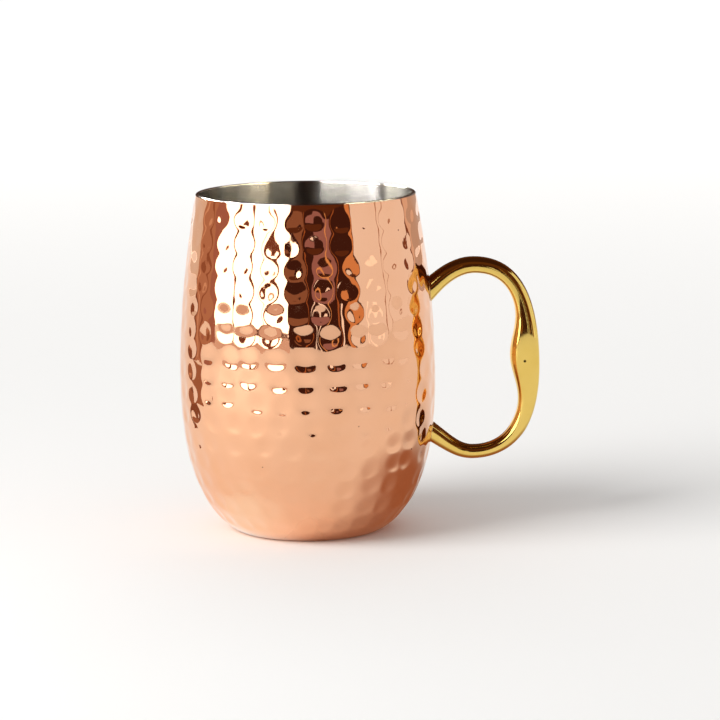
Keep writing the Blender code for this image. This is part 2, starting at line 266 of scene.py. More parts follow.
class HammerMarks:
    """Rings of dents from a round-faced hammer, each deepest below its middle."""

    def __init__(self, wall, hammer):
        draw = np.random.default_rng(hammer.seed)
        room = wall.length - hammer.first_row - hammer.row_pitch / 2
        shape = (1 + int(room / hammer.row_pitch), hammer.columns)
        rows = hammer.first_row + hammer.row_pitch * np.arange(shape[0])[:, None]
        columns = hammer.phase + 2 * math.pi / hammer.columns * np.arange(shape[1])[None, :]
        columns = columns + hammer.row_turn * np.arange(shape[0])[:, None]
        stray = hammer.wander / np.interp(rows, wall.way, wall.radius)
        easing = np.interp(rows, MARK_DEEPENING, (hammer.upper_share, 1.0))
        self.way = rows + draw.normal(0, hammer.wander * WANDER_ALONG, shape)
        self.angle = columns + stray * draw.normal(0, 1, shape)
        self.height = hammer.half_height * draw.uniform(*MARK_HEIGHTS, shape)
        self.width = hammer.half_width * draw.uniform(*MARK_WIDTHS, shape)
        self.deep = easing * hammer.depth * draw.uniform(*MARK_DEPTHS, shape)
        self.sag = hammer.sag * draw.uniform(*MARK_SAGS, shape)
        self.lean = draw.normal(0, MARK_LEAN, shape)

    def depth(self, way, angle, radius):
        """How deep the shell is pressed in at points of its outside."""
        pressed = np.zeros_like(way)
        for mark in np.ndindex(self.way.shape):
            near = np.flatnonzero(np.abs(way - self.way[mark]) < MARK_REACH * self.height[mark])
            turned = (angle[near] - self.angle[mark] + math.pi) % (2 * math.pi) - math.pi
            across = turned * radius[near]
            below = way[near] - self.way[mark]
            cosine, sine = math.cos(self.lean[mark]), math.sin(self.lean[mark])
            side = (across * cosine + below * sine) / self.width[mark]
            drop = (below * cosine - across * sine) / self.height[mark]
            pressed[near] = np.maximum(pressed[near], self.deep[mark] * bowl(side, drop, self.sag[mark]))
        return pressed


def bowl(side, drop, sag):
    """Depth of one mark, 1 at its deepest: rings with different middles, packed closer below than above."""
    offset = drop - sag
    inner = (sag * offset) ** 2 + (1 - sag**2) * (offset**2 + side**2)
    ring = (sag * offset + np.sqrt(inner)) / (1 - sag**2)
    return np.clip(1 - ring**2, 0, None) ** 2


# Handle centreline: the knots' places, with stand-offs from the belly, and how far each pulls the curve

UPPER_ROOT_HEIGHT = 85.0 * MM
UPPER_ROOT_ANGLE = math.radians(45)
CROWN_STANDOFF = 13.8 * MM
CROWN_HEIGHT = 93.2 * MM
GRIP_STANDOFF = 34.3 * MM
GRIP_HEIGHT = 57.0 * MM
BEND_STANDOFF = 13.2 * MM
BEND_HEIGHT = 26.3 * MM
LOWER_ROOT_HEIGHT = 33.5 * MM
LOWER_ROOT_ANGLE = math.radians(-35)
UPPER_ROOT_PULL = 6.0 * MM
CROWN_PULL_IN = 6.0 * MM
CROWN_PULL_OUT = 11.6 * MM
GRIP_PULL = 28.2 * MM
BEND_PULL_OUT = 6.5 * MM
BEND_PULL_IN = 5.0 * MM
LOWER_ROOT_PULL = 7.5 * MM


def bezier(start, start_pull, end_pull, end):
    """Points of a cubic curve between two knots, without the last."""
    t = np.linspace(0, 1, PATH_STEPS, endpoint=False)[:, None]
    knots = np.array([start, start_pull, end_pull, end])
    shares = np.hstack([(1 - t) ** 3, 3 * (1 - t) ** 2 * t, 3 * (1 - t) * t**2, t**3])
    return shares @ knots


def heading(angle):
    return np.array([math.cos(angle), math.sin(angle)])


def clamp(value):
    return min(max(value, 0.0), 1.0)


class Handle:
    """The handle as a surface: a swelling oval section carried along a curve in the plane y = 0."""

    def __init__(self, wall, belly_radius, form):
        upper = np.array([wall.radius_at(UPPER_ROOT_HEIGHT), UPPER_ROOT_HEIGHT])
        crown = np.array([belly_radius + CROWN_STANDOFF, CROWN_HEIGHT])
        grip = np.array([belly_radius + GRIP_STANDOFF, GRIP_HEIGHT])
        bend = np.array([belly_radius + BEND_STANDOFF, BEND_HEIGHT])
        lower = np.array([wall.radius_at(LOWER_ROOT_HEIGHT), LOWER_ROOT_HEIGHT])
        upper_way = heading(UPPER_ROOT_ANGLE)
        lower_way = heading(LOWER_ROOT_ANGLE)
        level = heading(0.0)
        plumb = heading(math.pi / 2)
        overrun = belly_radius / 2
        points = np.vstack([
            upper - overrun * upper_way,
            bezier(upper, upper + UPPER_ROOT_PULL * upper_way, crown - CROWN_PULL_IN * level, crown),
            bezier(crown, crown + CROWN_PULL_OUT * level, grip + GRIP_PULL * plumb, grip),
            bezier(grip, grip - GRIP_PULL * plumb, bend + BEND_PULL_OUT * level, bend),
            bezier(bend, bend - BEND_PULL_IN * level, lower + LOWER_ROOT_PULL * lower_way, lower),
            lower,
            lower - overrun * lower_way,
        ])
        steps = np.linalg.norm(np.diff(points, axis=0), axis=1)
        self.wall = wall
        self.form = form
        self.points = points
        self.way = np.concatenate([[0.0], np.cumsum(steps)]) - overrun
        self.length = self.way[-1] - overrun

    def centre(self, way):
        return np.array([np.interp(way, self.way, column) for column in self.points.T])

    def swell(self, height, middle):
        """Share of the grip's swelling at a height, where its middle is at another."""
        return math.exp(-(((height - middle) / self.form.swell_length) ** 2))

    def sizes(self, way, height):
        """Thickness and width of the arm without the grip, and its widest place's lean to the fingers."""
        form = self.form
        root = math.exp(-max(0.0, min(way, self.length - way)) / form.root_taper)
        share = clamp((height - LOWER_ROOT_HEIGHT) / (UPPER_ROOT_HEIGHT - LOWER_ROOT_HEIGHT))
        thinning = 1 - clamp((height - BEND_HEIGHT) / form.thinning_height)
        thickness = form.arm_thickness + (form.bend_thickness - form.arm_thickness) * thinning
        lean = form.lower_lean + (form.upper_lean - form.lower_lean) * share
        return thickness + form.root_thickening * root, form.arm_width + form.root_widening * root, lean

    def point(self, way, angle, grow=0.0):
        """A point of the surface: angle 0 is the outer side, and grow moves it off the surface."""
        form = self.form
        nudge = self.length / HANDLE_RINGS
        centre = self.centre(way)
        along = self.centre(way + nudge) - self.centre(way - nudge)
        outward = np.array([-along[1], along[0]]) / np.linalg.norm(along)
        cosine, sine = math.cos(angle), math.sin(angle)
        thickness, width, lean = self.sizes(way, centre[1])
        swell = self.swell(centre[1], form.swell_height)
        lean += form.grip_lean * swell
        if cosine > 0:
            reach, grip_fullness = thickness / 2 + lean, form.grip_fullness
        else:
            reach, grip_fullness = thickness / 2 + form.swell_depth * swell - lean, form.finger_fullness
        power = 2 / (form.arm_fullness + (grip_fullness - form.arm_fullness) * swell)
        in_plane = reach * math.copysign(abs(cosine) ** power, cosine) - lean
        face_middle = form.face_height + form.face_slant * swell * in_plane
        width += form.swell_width * self.swell(centre[1], face_middle)
        across = width / 2 * math.copysign(abs(sine) ** power, sine)
        x, z = centre + (in_plane + grow * cosine) * outward
        return x, across + grow * sine, z

    def gap(self, point):
        """How far a point stands off the wall of the shell, measured level."""
        x, y, z = point
        return math.hypot(x, y) - self.wall.radius_at(z)

    def way_off_wall(self, root, angle, gap, grow=0.0):
        """How far along from a root (0 the upper, 1 the lower) the surface stands this far off the wall."""
        inside, outside = self.way[0], self.length * ROOT_SEARCH
        for _ in range(HALVINGS):
            middle = (inside + outside) / 2
            way = self.length - middle if root else middle
            if self.gap(self.point(way, angle, grow)) < gap:
                inside = middle
            else:
                outside = middle
        return outside

    def foot(self, root, angle, gap, grow=0.0):
        """The point of the surface at this gap from the wall, beside a root."""
        way = self.way_off_wall(root, angle, gap, grow)
        return self.point(self.length - way if root else way, angle, grow)


# Mesh tools


def turn(bm, outline, steps):
    """Turns an outline of radii and heights about the upright axis."""
    line = [bm.verts.new((radius, 0.0, height)) for radius, height in outline]
    for one, other in zip(line, line[1:]):
        bm.edges.new((one, other))
    geom = bm.verts[:] + bm.edges[:]
    bmesh.ops.spin(
        bm, geom=geom, axis=(0, 0, 1), cent=(0, 0, 0), angle=2 * math.pi, steps=steps, use_merge=True
    )
    bmesh.ops.remove_doubles(bm, verts=bm.verts, dist=WELD)
    bmesh.ops.recalc_face_normals(bm, faces=bm.faces)


def add_ring(bm, points):
    """A closed loop of edges through the points."""
    verts = [bm.verts.new(point) for point in points]
    return [bm.edges.new((one, other)) for one, other in zip(verts, verts[1:] + verts[:1])]


def bridge(bm, rings):
    """Joins each ring of edges to the next with faces."""
    for one, other in zip(rings, rings[1:]):
        bmesh.ops.bridge_loops(bm, edges=one + other)


def away_from_axis(vert):
    """The level way from the axis to a vertex."""
    return Vector((vert.co.x, vert.co.y, 0.0)).normalized()


def lit_metal(metal):
    """The collection of pieces for the boards that name a metal, or "all but" a metal."""
    name = "lit " + metal
    return bpy.data.collections.get(name) or bpy.data.collections.new(name)


def add_object(name, data):
    thing = bpy.data.objects.new(name, data)
    bpy.context.scene.collection.objects.link(thing)
    return thing


def finish_mesh(name, bm, material):
    """Makes a bmesh a mesh of one material, and frees it."""
    mesh = bpy.data.meshes.new(name)
    bm.to_mesh(mesh)
    bm.free()
    mesh.materials.append(material)
    return mesh


def add_piece(name, bm, material, node, slot):
    """Makes a bmesh a finished piece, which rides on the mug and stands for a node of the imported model."""
    mesh = finish_mesh(name, bm, material)
    mesh.shade_smooth()
    mesh.set_sharp_from_angle(angle=SMOOTH_ANGLE)
    piece = add_object(name, mesh)
    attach(piece, BODY)
    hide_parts(node)
    lit_metal(slot).objects.link(piece)
    others = lit_metal("all but " + slot)
    others.objects.link(piece)
    # Boards that exclude the pieces of a collection light everything else
    for member in others.collection_objects:
        member.light_linking.link_state = "EXCLUDE"


# Materials

SHADER = "Principled BSDF"
PIT_THRESHOLD = 0.68  # brightness of a cell's random colour, above which it holds a pit
# The blow hole is painted shade: a near-black spot in the brass colour, with no depth in the mesh
GRIP_HOLE = (76.6 * MM, -4.5 * MM, 59.3 * MM)  # a blow hole of the casting, which polishing opened
GRIP_HOLE_RADIUS = 0.65 * MM
GRIP_HOLE_SHADE = "#1A0F06"


def fill_inputs(tree, node, inputs):
    """Fills a node's inputs with values, or with links to other nodes' outputs."""
    for name, value in inputs.items():
        if isinstance(value, bpy.types.NodeSocket):
            tree.links.new(value, node.inputs[name])
        else:
            node.inputs[name].default_value = value


def add_node(tree, kind, inputs, **settings):
    """Adds a shader node, sets its properties and fills its inputs."""
    node = tree.nodes.new("ShaderNode" + kind)
    for name, value in settings.items():
        setattr(node, name, value)
    fill_inputs(tree, node, inputs)
    return node


def new_material(name):
    """A material and its node tree."""
    material = bpy.data.materials.new(name)
    material.use_nodes = True
    return material, material.node_tree


def finish_metal(material, surface):
    """Gives a material the surface of a bare metal."""
    tree = material.node_tree
    fill_inputs(tree, tree.nodes[SHADER], {"Metallic": 1.0, **surface})
    return material


def add_pits(tree, place, shade, pit_shade_colour, spacing, radius):
    """Darkens the pits that polishing leaves open with painted shade, as spots in some cells of a pattern.
    Returns the colour.
    """
    share = radius / spacing
    cells = add_node(tree, "TexVoronoi", {"Vector": place, "Scale": 1 / spacing})
    ramp = {"Value": cells.outputs["Distance"], "From Min": share, "From Max": share / 2}
    spot = add_node(tree, "MapRange", ramp).outputs["Result"]
    lots = {0: cells.outputs["Color"], 1: PIT_THRESHOLD}
    chosen = add_node(tree, "Math", lots, operation="GREATER_THAN").outputs[0]
    pit = add_node(tree, "Math", {0: spot, 1: chosen}, operation="MULTIPLY").outputs[0]
    colours = {"Factor": pit, 6: shade, 7: (*linear(pit_shade_colour), 1.0)}
    return add_node(tree, "Mix", colours, data_type="RGBA").outputs[2]


def hammered_copper(finish):
    """Copper sheet, hammered, then polished on a mop: a warm mirror, a little uneven between the blows."""
    material, tree = new_material("hammered copper, mirror polished")
    tone_width = 14 * MM
    planish_width = 2.2 * MM
    planish_depth = 0.008 * MM
    place = add_node(tree, "TexCoord", {}).outputs["Object"]
    tone = add_node(tree, "TexNoise", {"Vector": place, "Scale": 1 / tone_width, "Detail": 2.0})
    tones = {"Factor": tone.outputs["Fac"], 6: (*finish.copper, 1.0), 7: (*finish.copper_warm, 1.0)}
    shade = add_node(tree, "Mix", tones, data_type="RGBA").outputs[2]
    planish = add_node(tree, "TexNoise", {"Vector": place, "Scale": 1 / planish_width, "Detail": 1.0})
    blows = {"Height": planish.outputs["Fac"], "Distance": planish_depth}
    # The pits' dark spots in the copper are painted shade
    return finish_metal(material, {
        "Base Color": add_pits(tree, place, shade, "#5A2A18", spacing=8 * MM, radius=0.35 * MM),
        "Roughness": 0.035,
        "Normal": add_node(tree, "Bump", blows).outputs["Normal"],
    })


def brushed_steel(finish):
    """Stainless steel, spun and brushed round and round: it smears what it mirrors up and down."""
    material, tree = new_material("stainless steel, brushed")
    line_pitch = 0.3 * MM  # real brush lines are finer, and are drawn this coarse to show
    line_length = 50 * MM
    line_depth = 0.0015 * MM
    place = add_node(tree, "TexCoord", {}).outputs["Object"]
    stretch = (1 / line_length, 1 / line_length, 1 / line_pitch)
    mapped = add_node(tree, "Mapping", {"Vector": place, "Scale": stretch}).outputs["Vector"]
    lines = add_node(tree, "TexNoise", {"Vector": mapped, "Scale": 1.0, "Detail": 3.0}).outputs["Fac"]
    grooves = {"Height": lines, "Distance": line_depth}
    roughness = {"Value": lines, "To Min": 0.18, "To Max": 0.24}
    # The pits' dark spots in the steel are painted shade
    pitted = add_pits(tree, place, (*finish.steel, 1.0), "#2A211A", spacing=9 * MM, radius=0.4 * MM)
    return finish_metal(material, {
        "Base Color": pitted,
        "Roughness": add_node(tree, "MapRange", roughness).outputs["Result"],
        "Anisotropic": 1.0,
        "Anisotropic Rotation": 0.25,
        "Tangent": add_node(tree, "Tangent", {}, direction_type="RADIAL", axis="Z").outputs["Tangent"],
        "Normal": add_node(tree, "Bump", grooves).outputs["Normal"],
    })


def cast_brass(finish):
    """Cast brass, filed and polished: a yellow mirror with the slow waves of the casting under it."""
    material, tree = new_material("cast brass, polished")
    wave_width = 6 * MM
    wave_depth = 0.02 * MM
    place = add_node(tree, "TexCoord", {}).outputs["Object"]
    slow = {"Vector": place, "Scale": 1 / wave_width, "Detail": 1.0}
    waves = add_node(tree, "TexNoise", slow).outputs["Fac"]
    tones = {"Factor": waves, 6: (*finish.brass, 1.0), 7: (*finish.brass_warm, 1.0)}
    shade = add_node(tree, "Mix", tones, data_type="RGBA").outputs[2]
    # The pits' dark spots in the brass are painted shade
    pitted = add_pits(tree, place, shade, "#6A4414", spacing=9 * MM, radius=0.35 * MM)
    # Painted shade of the blow hole: the brass darkens to near black round that point
    gap = add_node(tree, "VectorMath", {0: place, 1: GRIP_HOLE}, operation="DISTANCE").outputs["Value"]
    ramp = {"Value": gap, "From Min": GRIP_HOLE_RADIUS, "From Max": GRIP_HOLE_RADIUS / 2}
    hole = add_node(tree, "MapRange", ramp).outputs["Result"]
    colours = {"Factor": hole, 6: pitted, 7: (*linear(GRIP_HOLE_SHADE), 1.0)}
    swells = {"Height": waves, "Distance": wave_depth}
    return finish_metal(material, {
        "Base Color": add_node(tree, "Mix", colours, data_type="RGBA").outputs[2],
        "Roughness": 0.06,
        "Normal": add_node(tree, "Bump", swells).outputs["Normal"],
    })


def braze_metal(finish):
    """Brazing metal, run into the corner and wiped: duller than the brass beside it."""
    material, tree = new_material("brazing metal, as run")
    ripple_width = 0.8 * MM
    ripple_depth = 0.03 * MM
    place = add_node(tree, "TexCoord", {}).outputs["Object"]
    ripple = add_node(tree, "TexNoise", {"Vector": place, "Scale": 1 / ripple_width}).outputs["Fac"]
    ripples = {"Height": ripple, "Distance": ripple_depth}
    return finish_metal(material, {
        "Base Color": (*finish.braze, 1.0),
        "Roughness": 0.25,
        "Normal": add_node(tree, "Bump", ripples).outputs["Normal"],
    })


# Pieces


def inner_depth(hammer, way, outer):
    """How deep a skin lies behind the outside of the shell: close at the rim, clear of the marks below."""
    return outer + hammer.depth * np.minimum(way / hammer.first_row, 1.0)


def hammered_shell(settings):
    """The copper shell: a turned sheet, pressed by the marks, with its edge and its inner face."""
    body, hammer = settings.body, settings.hammer
    wall = Wall(body)
    edge = wall.way_at(body.height - body.lip_height - body.seat_gap)
    ways = np.linspace(edge, wall.length, SHELL_ROWS)
    bm = bmesh.new()
    turn(bm, [*zip(*wall.skin(ways)), (body.base_radius / 2, 0.0), (0.0, 0.0)], SHELL_COLUMNS)
    press_marks(bm, wall, hammer, edge)
    add_inner_face(bm, wall, hammer, edge, body.shell_wall)
    bmesh.ops.recalc_face_normals(bm, faces=bm.faces)
    add_piece("hammered_shell", bm, hammered_copper(settings.finish), "copper_shell", "copper")


def press_marks(bm, wall, hammer, edge):
    """Presses the marks in, and lets the ridges stand out by half their depth. Edge and flat base stay."""
    places = np.array([vert.co for vert in bm.verts])
    radius = np.hypot(places[:, 0], places[:, 1])
    angle = np.arctan2(places[:, 1], places[:, 0])
    way = wall.way_at(places[:, 2])
    depth = HammerMarks(wall, hammer).depth(way, angle, radius) - hammer.depth / 2
    depth += [sheet_wave(place) for place in places]
    depth *= np.clip((way - edge) / hammer.half_height, 0, 1) * (places[:, 2] > 0)
    out_radius, out_height = wall.normal(way)
    for vert, press, level, rise in zip(bm.verts, depth, out_radius, out_height):
        vert.co -= (away_from_axis(vert) * level + Vector((0.0, 0.0, rise))) * press


def sheet_wave(place):
    """The slow unevenness of a sheet that was worked by hand."""
    wave_width = 13 * MM
    wave_depth = 0.03 * MM
    return wave_depth * noise.noise(Vector(place) / wave_width)


def add_inner_face(bm, wall, hammer, edge, thickness):
    """Turns the open edge of the sheet inwards and carries it down the inside, to a flat floor."""
    ways = wall.length - (wall.length - edge) * np.linspace(1, 0, INNER_ROWS) ** INNER_CROWDING
    inside = wall.skin(ways, inner_depth(hammer, ways - edge, thickness))
    ring = [side for side in bm.edges if side.is_boundary]
    for radius, height in zip(*inside):
        grown = bmesh.ops.extrude_edge_only(bm, edges=ring)["geom"]
        for vert in (item for item in grown if isinstance(item, bmesh.types.BMVert)):
            vert.co = away_from_axis(vert) * radius + Vector((0.0, 0.0, height))
        ring = [item for item in grown if isinstance(item, bmesh.types.BMEdge)]
    bmesh.ops.contextual_create(bm, geom=ring)


def brushed_liner(settings):
    """The drinking cup: one turned outline, from its floor up the inside, over the lip and down outside."""
    body, hammer = settings.body, settings.hammer
    wall = Wall(body)
    lip_base = body.height - body.lip_height
    ways = np.linspace(wall.way_at(lip_base - body.seat_gap), wall.length, LINER_ROWS)
    depth = inner_depth(hammer, ways, body.shell_wall + body.skin_gap)
    outside = list(zip(*wall.skin(ways, depth)))
    inside = list(zip(*wall.skin(ways, depth + body.liner_wall)))
    lip_inner = inside[0][0]
    lip_outer = body.rim_radius - body.lip_inset
    middle = (lip_inner + lip_outer) / 2
    half = (lip_outer - lip_inner) / 2
    turns = np.linspace(math.pi, 0, LIP_STEPS + 1)
    lip = [(middle + half * math.cos(t), lip_base + body.lip_height * math.sin(t)) for t in turns]
    floor_top = (0.0, inside[-1][1])
    floor_under = (0.0, outside[-1][1])
    outline = [floor_top, *reversed(inside), *lip, (outside[0][0], lip_base), *outside, floor_under]
    bm = bmesh.new()
    turn(bm, outline, LINER_SEGMENTS)
    add_piece("brushed_liner", bm, brushed_steel(settings.finish), "steel_liner", "steel")


def polished_handle(settings):
    """The brass handle, lofted through its sections, with both ends shaped to the wall."""
    handle = Handle(Wall(settings.body), settings.body.belly_radius, settings.handle)
    ends = []
    starts = []
    for root in (0, 1):
        ends.append([handle.foot(root, angle, 0.0) for angle in SECTION_ANGLES])
        starts.append(max(handle.way_off_wall(root, angle, 0.0) for angle in SECTION_ANGLES))
    step = handle.length / HANDLE_RINGS
    ways = np.linspace(starts[0] + step, handle.length - starts[1] - step, HANDLE_RINGS)
    sections = [[handle.point(way, angle) for angle in SECTION_ANGLES] for way in ways]
    bm = bmesh.new()
    rings = [add_ring(bm, points) for points in [ends[0], *sections, ends[1]]]
    bridge(bm, rings)
    for ring in (rings[0], rings[-1]):
        bmesh.ops.contextual_create(bm, geom=ring)
    bmesh.ops.recalc_face_normals(bm, faces=bm.faces)
    add_piece("polished_handle", bm, cast_brass(settings.finish), "brass_handle", "brass")


def braze_fillets(settings):
    """The hollow fillet round each root of the handle, in the corner with the shell."""
    handle = Handle(Wall(settings.body), settings.body.belly_radius, settings.handle)
    leg = settings.handle.braze_size
    sunk = settings.hammer.depth
    material = braze_metal(settings.finish)
    turns = np.linspace(0, math.pi / 2, FILLET_STEPS + 1)
    hollow = [(leg * (1 - math.sin(t)), leg * (1 - math.cos(t))) for t in turns]
    for root, name, node in ((0, "upper_fillet", "upper_braze"), (1, "lower_fillet", "lower_braze")):
        bm = bmesh.new()
        rings = []
        for gap, grow in [(-sunk, -sunk), (leg, -sunk), *hollow, (-sunk, leg)]:
            rings.append(add_ring(bm, [handle.foot(root, angle, gap, grow) for angle in SECTION_ANGLES]))
        bridge(bm, rings + rings[:1])
        bmesh.ops.recalc_face_normals(bm, faces=bm.faces)
        add_piece(name, bm, material, node, "braze")


# Stage

# How far boards stand from the cup's axis: rows round the room, and flats close by at the left
ROOM_ROW = 1.9
BACK_ROW = 1.8
MIDDLE_ROW = 1.78
FRONT_ROW = 1.76
FLAT_BACK = 0.3
FLAT_FRONT = 0.29
FLAT_FOOT = 0.15

# Edges of several boards, in degrees above the horizon
BACK_FOOT = -4.0
FOOT = -2.3
LOW_TOP = 17.0
HIGH_FOOT = 22.0
HIGH_TOP = 29.0

BOARD_STEP = 3.0  # degrees between a board's columns
DARK_ROOM = "#5C3520"
CEILING = "#3A1F18"
FLOOR_RADIUS = 8.0

# Lamps, world and camera
KEY_ENERGY = 2.05
KEY_WIDTH = math.radians(40)
KEY_TURN = math.radians(-65)  # from the camera, to the right
KEY_RISE = math.radians(37)
POOL_ENERGY = 0.62
POOL_SIZE = 0.3
POOL_PLACE = (-0.36, -0.22, 0.3)
BACK_ENERGY = 32.0
BACK_SIZE = 3.0
BACK_PLACE = (0.0, 3.0, 1.7)
WORLD_LIGHT = 0.5
WORLD_SEEN = 0.95
SENSOR_WIDTH = 36.0  # millimetres


class Board(NamedTuple):
    """A board or light that stands round the mug, as it is seen from there. Angles are degrees.

    Left and right count from the camera, to the right. Low and high count from the horizon: one number, or
    one for the left end and one for the right. Near is the distance from the axis of the cup. A board that
    names a metal lights only that one, or all but that one, and the others look through it.
    """

    name: str
    left: float
    right: float
    low: float | tuple
    high: float | tuple
    colour: str
    strength: float = 1.0
    near: float = BACK_ROW
    metal: str = ""


def high_board(name, left, right, hex_colour, strength, near=BACK_ROW):
    """A strong light above the other boards, for the steel inside the cup."""
    return Board(name, left, right, HIGH_FOOT, HIGH_TOP, hex_colour, strength, near, "steel")


BOARDS = (
    Board("dark_room", -180.0, 180.0, BACK_FOOT, 42.0, DARK_ROOM, near=ROOM_ROW),
    Board("light_bank", -93.0, -14.5, (-2.8, 0.4), (20.0, 22.0), "#FFFFFF", 3.6),
    high_board("high_bank", -93.0, -51.0, "#FFFFFF", 185.0),
    Board("high_bank_side", -91.5, -84.0, 30.0, 40.0, "#FFFFFF", 140.0, 0.28, "steel"),
    high_board("high_bank_right", -51.0, -17.0, "#FFFFFA", 108.0),
    high_board("high_bank_left", -125.0, -104.0, "#FFFFF3", 190.0),
    high_board("high_bank_end", -155.0, -125.0, "#FFFFF3", 190.0),
    high_board("high_reflector_1", 44.5, 70.0, "#FFF0C8", 82.0, MIDDLE_ROW),
    high_board("high_reflector_2", 70.0, 115.0, "#FFF0C8", 28.0, MIDDLE_ROW),
    high_board("high_line_1", 54.0, 56.5, "#FFF0C8", 31.0, FRONT_ROW),
    high_board("high_line_2", 61.0, 62.0, "#FFF0C8", 27.0, FRONT_ROW),
    high_board("high_line_3", -24.0, -22.0, "#FFFFFA", 30.0, FRONT_ROW),
    high_board("high_line_4", -34.0, -32.5, "#FFFFFA", 34.0, FRONT_ROW),
    high_board("high_line_5", -46.0, -45.0, "#FFFFFA", 30.0, FRONT_ROW),
    high_board("high_line_6", -112.0, -106.0, "#FFFFF3", 50.0, FRONT_ROW),
    Board("light_frame_1", -70.2, -67.4, -1.8, LOW_TOP, "#7A4A36", near=MIDDLE_ROW),
    Board("light_frame_2", -54.8, -52.0, -1.1, LOW_TOP, "#7A4A36", near=MIDDLE_ROW),
    Board("light_frame_3", -37.6, -36.8, -0.4, LOW_TOP, "#B08468", near=MIDDLE_ROW),
    Board("light_frame_4", -33.0, -30.2, -0.2, LOW_TOP, "#7A4A36", near=MIDDLE_ROW),
    Board("light_stand", -93.0, -14.5, (-5.0, -2.3), (-2.8, 0.4), "#E2CCC4", near=0.85),
    Board("brown_flat", -116.0, -84.0, 4.0, 30.0, "#B98C74", near=FLAT_BACK),
    Board("brown_flat_low", -119.0, -84.5, -1.5, 4.0, "#B98C74", near=FLAT_BACK),
    Board("brown_flat_under", -119.0, -99.5, -6.0, -1.5, "#B98C74", near=FLAT_BACK),
    Board("brown_flat_edge", -119.0, -115.0, -5.0, 4.0, "#8A5A44", near=FLAT_FRONT),
    Board("brown_flat_line_1", -111.0, -109.0, -5.0, 30.0, "#D8B096", near=FLAT_FRONT),
    Board("brown_flat_line_2", -104.0, -101.0, -5.0, 30.0, "#96644C", near=FLAT_FRONT),
    Board("brown_flat_side", -94.0, -84.2, -1.5, 30.0, "#A9786C", near=FLAT_FRONT),
    Board("brown_flat_foot", -111.0, -93.0, -14.0, -5.0, "#A5765E", near=FLAT_FOOT),
    Board("brown_flat_tip", -112.0, -107.0, -21.0, -14.0, "#8A5A44", near=FLAT_FOOT),
    Board("dark_flat", -14.5, 47.0, FOOT, LOW_TOP, "#41241C"),
    Board("brown_patch", -12.0, -3.0, 4.4, LOW_TOP, "#82604A", near=MIDDLE_ROW, metal="copper"),
    Board("mauve_panel", 8.0, 26.0, 5.0, 14.0, "#937175", near=MIDDLE_ROW, metal="copper"),
    Board("amber_line", 18.5, 19.7, -1.0, LOW_TOP, "#EAB47A", near=FRONT_ROW),
    Board("amber_line_left", -1.0, 0.0, -1.0, LOW_TOP, "#B06E40", near=FRONT_ROW),
    Board("amber_line_right", 29.0, 30.2, -1.0, LOW_TOP, "#B06E40", near=FRONT_ROW),
    Board("amber_strip", 41.0, 46.0, FOOT, LOW_TOP, "#DDA06C", near=MIDDLE_ROW),
    Board("bar_1", 8.4, 9.6, FOOT, 4.4, "#FFFFFF", 1.2, MIDDLE_ROW),
    Board("bar_2", 13.0, 14.0, FOOT, 4.4, "#FFFFFF", 1.2, MIDDLE_ROW),
    Board("bar_3", 32.0, 34.0, FOOT, 4.4, "#FFFFFF", 1.2, MIDDLE_ROW),
    Board("reflector_1", 47.0, 56.0, FOOT, LOW_TOP, "#F8FAFD"),
    Board("reflector_2", 56.0, 115.0, (FOOT, BACK_FOOT), 38.0, "#F8FAFD"),
    Board("reflector_seam_1", 76.4, 77.6, -2.5, 38.0, "#B08468", near=MIDDLE_ROW),
    Board("reflector_seam_2", 84.6, 85.4, -2.5, 38.0, "#B08468", near=MIDDLE_ROW),
    Board("reflector_bar_1", 57.0, 59.0, FOOT, 3.0, "#FFFFFF", 1.3, MIDDLE_ROW),
    Board("reflector_bar_2", 64.0, 66.0, FOOT, 3.0, "#FFFFFF", 1.3, MIDDLE_ROW),
    Board("brown_edge", 116.2, 118.4, BACK_FOOT, LOW_TOP, "#80503A"),
    Board("reflector_end", 115.0, 116.2, BACK_FOOT, LOW_TOP, "#F8FAFD"),
    Board("pale_edge", 118.4, 130.0, BACK_FOOT, LOW_TOP, "#E3CDBE"),
    Board("backdrop_right", 130.0, 166.0, BACK_FOOT, 16.0, "#B4AEA5", metal="all but brass"),
    Board("backdrop_left", 194.0, 250.0, BACK_FOOT, 16.0, "#D5D5CE", metal="all but steel"),
    Board("dark_back", 166.0, 194.0, BACK_FOOT, 16.0, "#4A3128", near=MIDDLE_ROW),
    Board("handle_card", 146.0, 190.0, -16.0, 16.0, "#854A2A", near=0.1, metal="brass"),
)


class FloorCard(NamedTuple):
    """A round card on the floor, clear at its edge, that paints shade or light on the floor for the metals
    to mirror. Its colour grows inwards, up to its share.

    The fade is how far in that takes, as a share of the radius.
    """

    name: str
    place: tuple
    radius: float
    lift: float
    colour: str
    strength: float
    share: float
    fade: float


FLOOR_CARDS = (
    # Painted shadow: the mug's shadow on the floor at its right, warmed as if by light off the copper, seen
    # only in the metals
    FloorCard("painted_shadow_card", (66 * MM, 2 * MM), 80 * MM, 0.3 * MM, "#9C6038", 1.0, 0.9, 0.8),
    # Painted pool of light: a bright patch of floor beside the foot at the left, seen only in the metals
    FloorCard("painted_light_card", (-30 * MM, -24 * MM), 36 * MM, 0.4 * MM, "#E6F8FF", 1.4, 0.65, 1.0),
)


def glow(name, hex_colour, strength=1.0, clear=False):
    """An even light of one colour. A clear one also lets through what lies behind it."""
    material, tree = new_material(name)
    tree.nodes.clear()
    shine = {"Color": (*linear(hex_colour), 1.0), "Strength": strength}
    light = add_node(tree, "Emission", shine).outputs[0]
    if clear:
        pane = add_node(tree, "BsdfTransparent", {}).outputs[0]
        light = add_node(tree, "AddShader", {0: light, 1: pane}).outputs[0]
    add_node(tree, "OutputMaterial", {"Surface": light})
    return material


